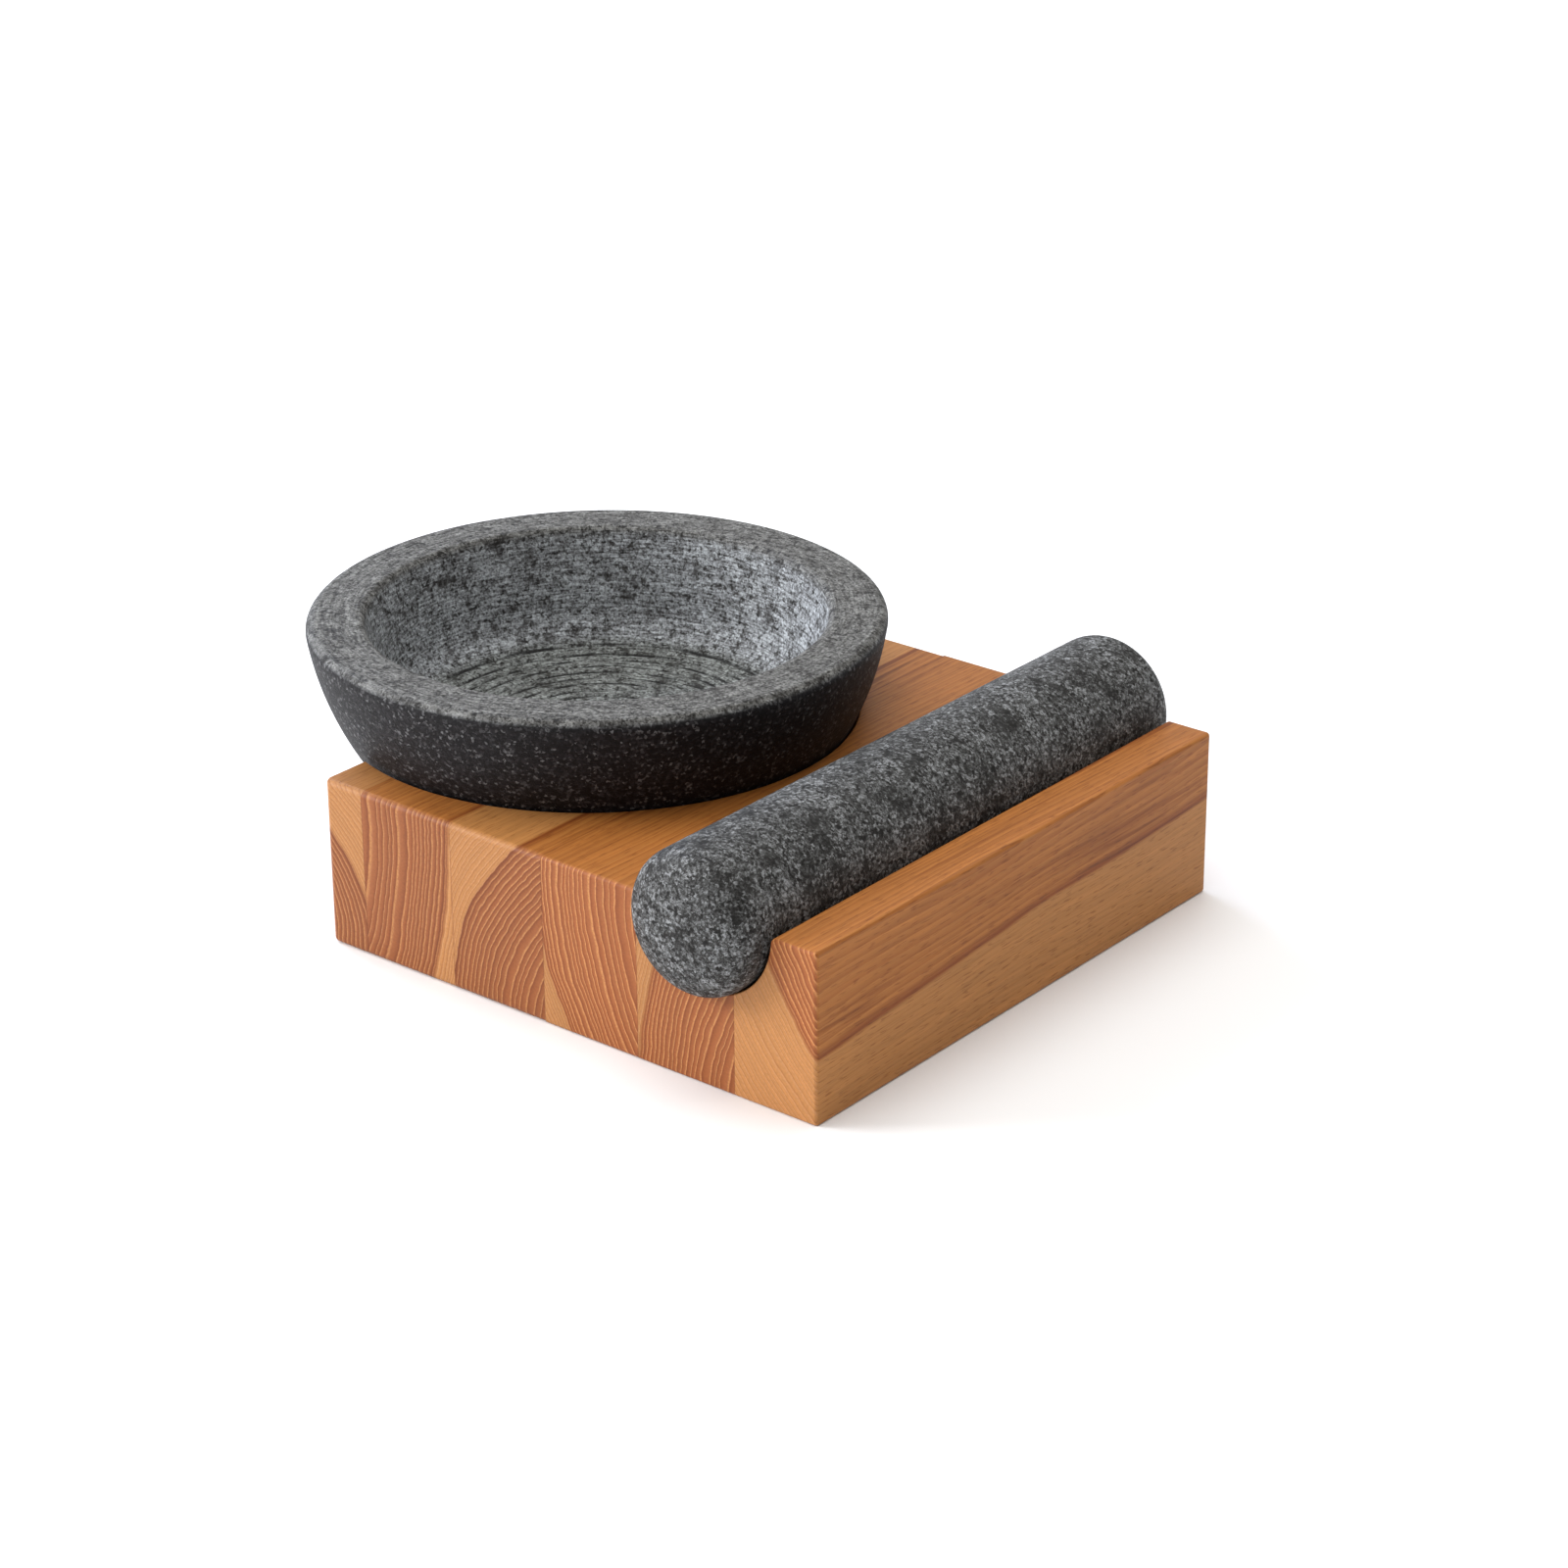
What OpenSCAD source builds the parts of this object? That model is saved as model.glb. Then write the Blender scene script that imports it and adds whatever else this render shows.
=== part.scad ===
// Low stone mortar and its pestle on a glued hardwood block, in millimetres.
// The block's underside is at Z 0 with the origin at its centre, and the grain runs along Y.
// The bowl stands in a round recess, which is open on the block's left side, and reaches past that side.
// The pestle lies in a half-round groove.

/* [Block] */
// Length of the block, along the grain
block_l = 216; // [180:1:280]
// Thickness of the block
block_t = 60; // [45:1:90]
// Width of the left stave, ripped narrow
left_stave_w = 17; // [10:0.5:40]
// Width of each of the four full staves
full_stave_w = 40; // [32:0.5:50]
// Width of the right stave, which carries the outer lip of the groove
right_stave_w = 33; // [27:0.5:50]
// Rounding of the upper and upright edges of the block
edge_r = 2.5; // [0.5:0.1:5]
// Rounding of the lower edges of the block
under_edge_r = 2; // [0.5:0.1:5]

/* [Groove] */
// Room between the pestle and the groove, on the radius
groove_room = 2; // [0.5:0.1:5]
// Deck left standing between the groove and the right side of the block
groove_lip_w = 18; // [8:0.5:24]
// Rounding of the two upper edges of the groove
groove_edge_r = 2; // [0.5:0.1:3]

/* [Recess] */
// Depth of the round recess that the bowl stands in
recess_depth = 16; // [6:0.5:24]
// Room between the bowl and the recess at the deck, on the radius
recess_room = 0.6; // [0.3:0.1:3]

/* [Pestle] */
// Diameter of the pestle
pestle_d = 50; // [36:0.5:60]
// Length of the pestle
pestle_l = 240; // [180:1:300]
// Length of the rounding at the front end of the pestle
pestle_front_end_l = 13; // [4:0.5:25]
// Length of the rounding at the rear end of the pestle
pestle_rear_end_l = 11; // [4:0.5:25]
// Distance from the middle of the block to the middle of the pestle, along the grain
pestle_y = -1.5; // [-10:0.5:10]
// Gap left under the pestle, so that the two curved faces never overlap
pestle_seat_gap = 0.3; // [0.1:0.1:0.5]

/* [Bowl] */
// Largest diameter of the bowl, just below the rim
bowl_d = 200; // [165:1:240]
// Height of the bowl
bowl_h = 52; // [40:0.5:80]
// Diameter of the flat foot
foot_d = 158; // [120:1:160]
// Outward bulge of the outer wall at half height
wall_bulge = 3; // [0:0.1:4]
// Rounding between the foot and the outer wall
foot_edge_r = 2; // [0.5:0.1:4]
// Rounding of the outer edge of the rim
rim_outer_r = 3.5; // [1:0.1:6]
// Rounding of the inner edge of the rim
rim_inner_r = 3; // [1:0.1:6]
// Width of the rim, from its largest diameter to the mouth of the hollow
rim_w = 20.5; // [12:0.5:24]
// Stone left under the middle of the hollow
floor_t = 7; // [4:0.5:14]
// Slope of the hollow's floor, in degrees from level
floor_slope = 3; // [0:0.5:6]
// Slope of the hollow's wall, in degrees from level
hollow_slope = 78; // [68:1:86]
// Rounding between the floor and the wall of the hollow
hollow_corner_r = 18; // [8:0.5:24]
// Distance between the rim and the side of the pestle
bowl_pestle_gap = 10; // [4:0.5:30]
// Distance from the middle of the block to the middle of the bowl, along the grain
bowl_y = -3; // [-15:0.5:15]

/* [Hidden] */

$fn = 96;
overcut = 1;
arc_steps = 8;
end_steps = 14;
end_power = 2.6;
full_staves = 4;

stave_colours = ["#c98f58", "#b9784a", "#c48a55", "#b4713f", "#c08149", "#bd7d4c"];
stone_dark = "#3b3b3e";
stone_grey = "#626463";

stave_widths = [left_stave_w, for (i = [1:full_staves]) full_stave_w, right_stave_w];
block_w = left_stave_w + full_staves * full_stave_w + right_stave_w;
function stave_left(i) = i == 0 ? -block_w / 2 : stave_left(i - 1) + stave_widths[i - 1];

pestle_r = pestle_d / 2;
groove_r = pestle_r + groove_room;
groove_x = block_w / 2 - groove_lip_w - groove_r;
// The rounded edge of the groove touches the deck this far from its middle and the groove this deep
groove_edge_x = sqrt(pow(groove_r + groove_edge_r, 2) - pow(groove_edge_r, 2));
groove_edge_depth = groove_r * groove_edge_r / (groove_r + groove_edge_r);
pestle_z = block_t - groove_room + pestle_seat_gap;
bowl_x = groove_x - pestle_r - bowl_pestle_gap - bowl_d / 2;
bowl_z = block_t - recess_depth;

function arc(centre, r, from, to) =
    [for (k = [0:arc_steps]) let (turn = from + (to - from) * k / arc_steps)
        centre + r * [cos(turn), sin(turn)]];

// ---- Block: six staves, with the edges and the groove cut through the glued-up blank ----

// Waste of one rounded corner, with the material in the positive quadrant
module corner_waste(r) {
    difference() {
        translate([-overcut, -overcut]) square(r + overcut);
        translate([r, r]) circle(r);
    }
}

// Waste at the four corners of a rectangle that stands on the X axis
module rectangle_waste(w, h, low_r, high_r) {
    for (side = [0, 1]) mirror([side, 0]) {
        translate([-w / 2, 0]) corner_waste(low_r);
        translate([-w / 2, h]) mirror([0, 1]) corner_waste(high_r);
    }
}

module block_edge_waste() {
    rotate([90, 0, 0])
        linear_extrude(block_l + 2 * overcut, center = true)
            rectangle_waste(block_w, block_t, under_edge_r, edge_r);
    rotate([90, 0, 90])
        linear_extrude(block_w + 2 * overcut, center = true)
            rectangle_waste(block_l, block_t, under_edge_r, edge_r);
    translate([0, -block_l / 2, -overcut])
        linear_extrude(block_t + 2 * overcut)
            rectangle_waste(block_w, block_l, edge_r, edge_r);
}

// Section of the groove, with the deck on the X axis
module groove_section() {
    circle(groove_r);
    difference() {
        translate([-groove_edge_x, -groove_edge_depth])
            square([2 * groove_edge_x, groove_edge_depth + overcut]);
        for (side = [-1, 1]) translate([side * groove_edge_x, -groove_edge_r]) circle(groove_edge_r);
    }
}

module groove_waste() {
    translate([groove_x, 0, block_t])
        rotate([90, 0, 0])
            linear_extrude(block_l + 2 * overcut, center = true) groove_section();
}

// The recess clears the bowl's wall, which leans outwards, at the height of the deck
module recess_waste() {
    translate([bowl_x, bowl_y, bowl_z])
        cylinder(r = wall_r(recess_depth) + recess_room, h = recess_depth + overcut);
}

module stave(i) {
    color(stave_colours[i]) difference() {
        translate([stave_left(i), -block_l / 2, 0]) cube([stave_widths[i], block_l, block_t]);
        block_edge_waste();
        groove_waste();
        recess_waste();
    }
}

// ---- Bowl: one turned stone, drawn as a half section with its axis at X 0 ----

foot_centre = [foot_d / 2, foot_edge_r];
rim_centre = [bowl_d / 2 - rim_outer_r, bowl_h - rim_outer_r];
wall_run = rim_centre - foot_centre;
// Direction that a straight outer wall would face, and how far the bulge turns it at each end
wall_facing = atan2(wall_run[1], wall_run[0]) - acos((foot_edge_r - rim_outer_r) / norm(wall_run));
wall_turn = atan(4 * wall_bulge / norm(wall_run));
foot_arc = arc(foot_centre, foot_edge_r, -90, wall_facing - wall_turn);
rim_outer_arc = arc(rim_centre, rim_outer_r, wall_facing + wall_turn, 90);
outer_wall =
    [for (k = [1:arc_steps - 1]) let (t = k / arc_steps)
        foot_arc[arc_steps] * (1 - t) + rim_outer_arc[0] * t
            + 4 * wall_bulge * t * (1 - t) * [cos(wall_facing), sin(wall_facing)]];
// Radius of the outer wall at a height above the foot
function wall_r(height) =
    lookup(height, [for (p = concat(foot_arc, outer_wall, rim_outer_arc)) [p[1], p[0]]]);

mouth_centre = [bowl_d / 2 - rim_w + rim_inner_r, bowl_h - rim_inner_r];
rim_inner_arc = arc(mouth_centre, rim_inner_r, 90, 90 + hollow_slope);
// The hollow's corner touches the straight lines of its wall and its floor
wall_inward = [-sin(hollow_slope), cos(hollow_slope)];
floor_upward = [-sin(floor_slope), cos(floor_slope)];
from_wall = hollow_corner_r + rim_inner_arc[arc_steps] * wall_inward;
from_floor = hollow_corner_r + [0, floor_t] * floor_upward;
corner_centre = [
    cos(hollow_slope) * from_floor - cos(floor_slope) * from_wall,
    sin(hollow_slope) * from_floor - sin(floor_slope) * from_wall
] / sin(hollow_slope - floor_slope);
corner_arc = arc(corner_centre, hollow_corner_r, hollow_slope - 90, floor_slope - 90);

module bowl() {
    color(stone_dark)
        translate([bowl_x, bowl_y, bowl_z])
            rotate_extrude()
                polygon(concat(
                    [[0, 0]],
                    foot_arc,
                    outer_wall,
                    rim_outer_arc,
                    rim_inner_arc,
                    corner_arc,
                    [[0, floor_t]]
                ));
}

// ---- Pestle: a plain round bar with domed ends, front end at negative Y ----

// Quarter outline of an end, from the side of the bar to its tip
function pestle_end(l) =
    [for (k = [0:end_steps]) let (t = 90 * k / end_steps)
        [pestle_r * pow(cos(t), 2 / end_power), l * pow(sin(t), 2 / end_power)]];

module pestle() {
    front = pestle_end(pestle_front_end_l);
    rear = pestle_end(pestle_rear_end_l);
    color(stone_grey)
        translate([groove_x, pestle_y, pestle_z])
            rotate([90, 0, 0])
                rotate_extrude()
                    polygon(concat(
                        [for (k = [end_steps:-1:0])
                            [rear[k][0], pestle_rear_end_l - pestle_l / 2 - rear[k][1]]],
                        [for (p = front) [p[0], pestle_l / 2 - pestle_front_end_l + p[1]]]
                    ));
}

stave(0);  // stave_1
stave(1);  // stave_2
stave(2);  // stave_3
stave(3);  // stave_4
stave(4);  // stave_5
stave(5);  // stave_6
bowl();
pestle();
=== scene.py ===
"""A low stone mortar with its pestle, on a glued hardwood block.

Lengths are in metres, unless a name ends in _mm.
"""
import math

import bmesh
import bpy
from mathutils import Matrix, Vector, noise


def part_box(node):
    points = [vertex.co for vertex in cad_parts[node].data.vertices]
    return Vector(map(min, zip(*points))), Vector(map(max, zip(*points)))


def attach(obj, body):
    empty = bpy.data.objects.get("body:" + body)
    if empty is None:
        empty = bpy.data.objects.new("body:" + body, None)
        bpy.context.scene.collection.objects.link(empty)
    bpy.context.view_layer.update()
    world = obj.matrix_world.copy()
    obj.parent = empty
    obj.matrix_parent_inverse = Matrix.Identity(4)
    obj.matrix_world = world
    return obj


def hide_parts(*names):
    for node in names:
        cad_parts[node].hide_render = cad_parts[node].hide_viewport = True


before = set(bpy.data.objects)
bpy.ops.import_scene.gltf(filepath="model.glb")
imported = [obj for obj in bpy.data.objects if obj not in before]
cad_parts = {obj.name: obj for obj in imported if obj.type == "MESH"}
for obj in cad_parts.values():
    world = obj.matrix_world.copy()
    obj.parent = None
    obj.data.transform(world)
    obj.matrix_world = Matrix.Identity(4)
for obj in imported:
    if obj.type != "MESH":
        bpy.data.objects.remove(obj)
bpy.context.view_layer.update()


# ---- Camera ----
# A long lens looks down at the front right corner, with the end grain on the left and the groove's side on
# the right. The small offsets and shifts place the object a little left of the middle and below it.
camera_azimuth = math.radians(38.95)
camera_elevation = math.radians(23.98)
camera_roll = math.radians(-0.27)
camera_distance = 1.3947
camera_aside = 0.0079
camera_above = 0.0486

back = Vector((
    math.sin(camera_azimuth) * math.cos(camera_elevation),
    -math.cos(camera_azimuth) * math.cos(camera_elevation),
    math.sin(camera_elevation),
))
camera_data = bpy.data.cameras.new("camera")
camera_data.lens = 93.3
camera_data.sensor_width = 36
camera_data.shift_x = -0.0083
camera_data.shift_y = -0.0064
camera = bpy.data.objects.new("camera", camera_data)
turn = back.to_track_quat("Z", "Y").to_matrix() @ Matrix.Rotation(camera_roll, 3, "Z")
camera.matrix_world = Matrix.Translation(
    back * camera_distance + turn @ Vector((camera_aside, camera_above, 0))
) @ turn.to_4x4()
bpy.context.scene.collection.objects.link(camera)
bpy.context.scene.camera = camera


# ---- Studio ----
# A white table in a pale room with a grey curtain on the right. A broad lamp hangs overhead, a strong and
# distant soft one at the front left lights the end grain, and a cool window at the left lights the hollow.
def linear(colour):
    """An sRGB hex colour as linear red, green, blue and alpha."""
    channels = [int(colour[i:i + 2], 16) / 255 for i in (1, 3, 5)]
    return (*[c / 12.92 if c <= 0.04045 else ((c + 0.055) / 1.055) ** 2.4 for c in channels], 1.0)


def add_node(tree, kind, settings=None, inputs=None):
    """Adds a node with its properties set, and each input linked to a node or socket, or set to a value.

    A Mix node has its share at input 0, its two numbers at 2 and 3, and its two colours at 6 and 7.
    """
    node = tree.nodes.new(kind)
    for name, value in (settings or {}).items():
        if name == "stops":
            ramp = node.color_ramp.elements
            while len(ramp) < len(value):
                ramp.new(0.5)
            for element, (position, colour) in zip(ramp, value):
                element.position = position
                element.color = colour
        else:
            setattr(node, name, value)
    for name, source in (inputs or {}).items():
        if isinstance(source, bpy.types.Node):
            source = next(socket for socket in source.outputs if socket.enabled)
        if isinstance(source, bpy.types.NodeSocket):
            tree.links.new(source, node.inputs[name])
        else:
            node.inputs[name].default_value = source
    return node


def add_object(name, shape):
    """Turns a finished bmesh into an object in the scene."""
    mesh = bpy.data.meshes.new(name)
    shape.to_mesh(mesh)
    shape.free()
    made = bpy.data.objects.new(name, mesh)
    bpy.context.scene.collection.objects.link(made)
    return made


bpy.context.scene.view_settings.view_transform = "Standard"
room = bpy.data.worlds.new("room")
room.use_nodes = True
walls = room.node_tree.nodes["Background"]
# A grey curtain hangs on the right, so that what faces it stays deep
outlook = add_node(room.node_tree, "ShaderNodeTexCoord").outputs["Generated"]
rightward = add_node(room.node_tree, "ShaderNodeSeparateXYZ", None, {0: outlook}).outputs["X"]
curtained = add_node(room.node_tree, "ShaderNodeMapRange", {"interpolation_type": "SMOOTHSTEP"},
                     {"Value": rightward, "From Min": 0.1, "From Max": 0.75})
room_colour = add_node(room.node_tree, "ShaderNodeMix", {"data_type": "RGBA"},
                       {0: curtained, 6: linear("#fbfaf8"), 7: linear("#a5a3a0")})
room.node_tree.links.new(room_colour.outputs[2], walls.inputs["Color"])
walls.inputs["Strength"].default_value = 0.85
bpy.context.scene.world = room

table = bmesh.new()
bmesh.ops.create_grid(table, x_segments=1, y_segments=1, size=6.0)
table_top = add_object("table", table)
paint = bpy.data.materials.new("matt white paint")
paint.use_nodes = True
coat = paint.node_tree.nodes["Principled BSDF"]
coat.inputs["Base Color"].default_value = linear("#f4f4f4")
coat.inputs["Roughness"].default_value = 0.9
table_top.data.materials.append(paint)

# Each lamp's place, the point it faces, the length of its sides, its power in watts and its colour
lamps = {
    "top_softbox": ((-0.2, 0.1, 2.2), (0, 0, 0), 2.0, 31.0, "#ffffff"),
    "key_softbox": ((-2.9, -1.9, 1.45), (0, 0, 0.03), 1.5, 128.0, "#f8faff"),
    "back_window": ((-1.7, 0.5, 1.0), (-0.05, 0, 0.05), 0.8, 17.0, "#d2e0ff"),
}
for name, (place, target, size, power, colour) in lamps.items():
    lamp = bpy.data.lights.new(name, "AREA")
    lamp.shape = "SQUARE"
    lamp.size = size
    lamp.energy = power
    lamp.color = linear(colour)[:3]
    holder = bpy.data.objects.new(name, lamp)
    holder.matrix_world = Matrix.Translation(place) @ (
        (Vector(place) - Vector(target)).to_track_quat("Z", "Y").to_matrix().to_4x4()
    )
    bpy.context.scene.collection.objects.link(holder)


# ---- Block ----
# Six staves of elm, edge-glued, planed and sanded flush, with eased edges, a routed half-round groove for
# the pestle, and a round recess for the bowl that runs out through the left side. The blank is shaped whole
# and then parted along its glue lines, so that the staves stay flush.
MM = 0.001
# Points nearer than the first gap are merged, and an edge nearer to a face than the second lies on it
merge_gap = MM / 100
touch_gap = MM / 10
stave_names = [f"stave_{i}" for i in range(1, 7)]
stave_boxes = [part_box(name) for name in stave_names]
block_low, block_high = stave_boxes[0][0], stave_boxes[-1][1]
bowl_low, bowl_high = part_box("bowl")
bowl_x, bowl_y = (bowl_low.x + bowl_high.x) / 2, (bowl_low.y + bowl_high.y) / 2
pestle_low, pestle_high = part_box("pestle")
pestle_r = (pestle_high.x - pestle_low.x) / 2
groove_room = 2 * MM
groove_r = pestle_r + groove_room
groove_x = (pestle_low.x + pestle_high.x) / 2
groove_edge_r = 2 * MM
edge_r = 2.5 * MM
# The recess clears the bowl's wall by 0.6 mm at the deck
recess_r = 90.4 * MM
# How much of the full rounding the lower edges, the ends of the groove and the rim of the recess get
under_edge_share = 0.8
groove_end_share = 0.3
recess_edge_share = 0.25

# The section's outline runs from the left rounded edge of the groove, through it, to the right one
edge_x = math.sqrt((groove_r + groove_edge_r) ** 2 - groove_edge_r ** 2)
edge_tilt = math.asin(groove_edge_r / (groove_r + groove_edge_r))
front, deck = block_low.y, block_high.z
clockwise, anticlockwise = (0, 1, 0), (0, -1, 0)

blank = bmesh.new()
vert = first = blank.verts.new((groove_x - edge_x, front, deck))
for cent, axis, angle, steps in (
    ((groove_x - edge_x, front, deck - groove_edge_r), clockwise, math.pi / 2 - edge_tilt, 8),
    ((groove_x, front, deck), anticlockwise, math.pi - 2 * edge_tilt, 56),
    ((groove_x + edge_x, front, deck - groove_edge_r), clockwise, math.pi / 2 - edge_tilt, 8),
):
    swept = bmesh.ops.spin(blank, geom=[vert], cent=cent, axis=axis, angle=angle, steps=steps)
    vert = next(item for item in swept["geom_last"] if isinstance(item, bmesh.types.BMVert))
right, left = block_high.x, block_low.x
for corner in ((right, front, deck), (right, front, 0), (left, front, 0), (left, front, deck)):
    corner_vert = blank.verts.new(corner)
    blank.edges.new((vert, corner_vert))
    vert = corner_vert
blank.edges.new((vert, first))
section = bmesh.ops.contextual_create(blank, geom=blank.edges[:])["faces"]
pulled = bmesh.ops.extrude_face_region(blank, geom=section)
bmesh.ops.translate(
    blank,
    verts=[item for item in pulled["geom"] if isinstance(item, bmesh.types.BMVert)],
    vec=(0, block_high.y - block_low.y, 0),
)
bmesh.ops.recalc_face_normals(blank, faces=blank.faces[:])
blank_object = add_object("blank", blank)

# The router's round cutter, which leaves the recess a flat floor level with the bowl's foot
plunge = 2 * (deck - bowl_low.z)
router = bmesh.new()
bmesh.ops.create_cone(
    router, cap_ends=True, segments=160, radius1=recess_r, radius2=recess_r, depth=plunge,
    matrix=Matrix.Translation((bowl_x, bowl_y, bowl_low.z + plunge / 2)),
)
router_object = add_object("router", router)
routing = blank_object.modifiers.new("recess", "BOOLEAN")
routing.operation = "DIFFERENCE"
routing.solver = "EXACT"
routing.object = router_object
blank = bmesh.new()
blank.from_object(blank_object, bpy.context.evaluated_depsgraph_get())
for helper in (blank_object, router_object):
    bpy.data.objects.remove(helper)
bmesh.ops.remove_doubles(blank, verts=blank.verts[:], dist=merge_gap)

# How much of the full rounding each edge gets, which the Bevel modifier reads
easing = blank.edges.layers.float.new("bevel_weight_edge")
# An edge that folds by less than this, in radians, is part of the recess's round wall
least_fold = 0.5
for edge in blank.edges:
    middle = (edge.verts[0].co + edge.verts[1].co) / 2
    along_grain = abs(edge.verts[0].co.y - edge.verts[1].co.y) > MM
    on_side = min(middle.x - block_low.x, block_high.x - middle.x) < touch_gap
    on_end = min(middle.y - block_low.y, block_high.y - middle.y) < touch_gap
    from_bowl = min(math.dist(vert.co.xy, (bowl_x, bowl_y)) for vert in edge.verts)
    if abs(from_bowl - recess_r) < touch_gap and not on_end:
        on_floor = middle.z < (deck + bowl_low.z) / 2 and not on_side
        edge[easing] = 0.0 if on_floor or edge.calc_face_angle(0) < least_fold else recess_edge_share
        continue
    if middle.z > MM and abs(middle.z - bowl_low.z) < touch_gap and on_side:
        edge[easing] = recess_edge_share
        continue
    if along_grain and not on_side:
        continue
    edge[easing] = 1.0 if middle.z > MM else under_edge_share
    if abs(middle.x - groove_x) < edge_x and middle.z > MM:
        rise = max(0.0, (middle.z - deck + groove_edge_r) / groove_edge_r)
        edge[easing] = groove_end_share + (1 - groove_end_share) * rise ** 2

# How each stave grew: where its pith lies on the front end, from the block's left lower corner, how far from
# it the heartwood reaches, how wide the rings are there and how fast they widen inwards, how the grain rises
# in radians, and how light the heartwood is across the grain, and the whole stave
growth = {
    "stave_1": {"pith_mm": (-30, 5), "heart_r_mm": 49.5, "ring_mm": 1.8, "widening": 1.2,
                "rise": 0.0, "heart_tone": 0.84, "tone": 1.0},
    "stave_2": {"pith_mm": (-90, 48), "heart_r_mm": 146.2, "ring_mm": 1.6, "widening": 3.8,
                "rise": 0.0, "heart_tone": 0.84, "tone": 1.04},
    "stave_3": {"pith_mm": (151, -9), "heart_r_mm": 94.4, "ring_mm": 1.75, "widening": 1.9,
                "rise": 0.01, "heart_tone": 0.86, "tone": 1.0},
    "stave_4": {"pith_mm": (229, 55), "heart_r_mm": 133.3, "ring_mm": 1.5, "widening": 3.5,
                "rise": 0.0, "heart_tone": 1.03, "tone": 1.0},
    "stave_5": {"pith_mm": (236, -4), "heart_r_mm": 98.8, "ring_mm": 1.6, "widening": 2.3,
                "rise": 0.01, "heart_tone": 1.0, "tone": 1.0},
    "stave_6": {"pith_mm": (292, 98), "heart_r_mm": 110.0, "ring_mm": 1.8, "widening": 1.2,
                "rise": 0.055, "heart_tone": 1.0, "tone": 1.15},
}


def start_material(name):
    """A material with nothing in it yet but the place on the object in millimetres, and its node tree."""
    material = bpy.data.materials.new(name)
    material.use_nodes = True
    tree = material.node_tree
    tree.nodes.clear()
    place = add_node(tree, "ShaderNodeTexCoord").outputs["Object"]
    at_mm = add_node(tree, "ShaderNodeVectorMath", {"operation": "SCALE"}, {0: place, "Scale": 1 / MM})
    return material, tree, at_mm


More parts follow.
